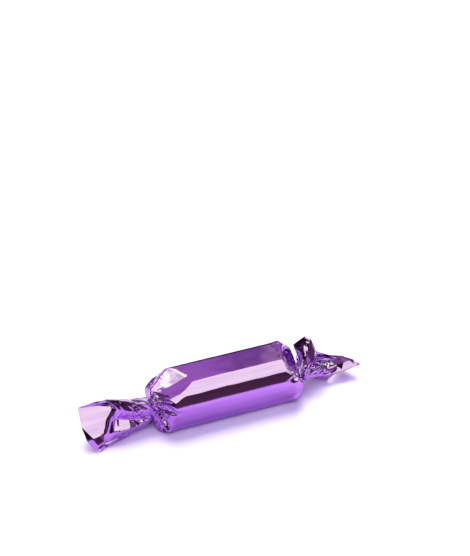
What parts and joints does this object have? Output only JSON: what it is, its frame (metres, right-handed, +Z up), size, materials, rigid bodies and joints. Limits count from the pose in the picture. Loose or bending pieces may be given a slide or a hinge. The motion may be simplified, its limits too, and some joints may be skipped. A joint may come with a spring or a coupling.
{
  "type": "honey candy",
  "caption": "Soft honey candy bar wrapped in purple metallic foil, with a twisted neck and a crumpled, open fan at each end.",
  "frame": {"origin": "on the table, under the middle of the wrapped candy's bounding box", "axes": "+X along the bar towards the shorter, pointed fan, +Y away from the side that the picture shows, +Z up"},
  "size_m": [0.0816, 0.0142, 0.0144],
  "materials": {
    "purple_foil": "purple metallised wrapping foil, mirror bright, creased"
  },
  "bodies": {
    "root": {"wrapped_candy": "purple_foil"}
  },
  "joints": []
}
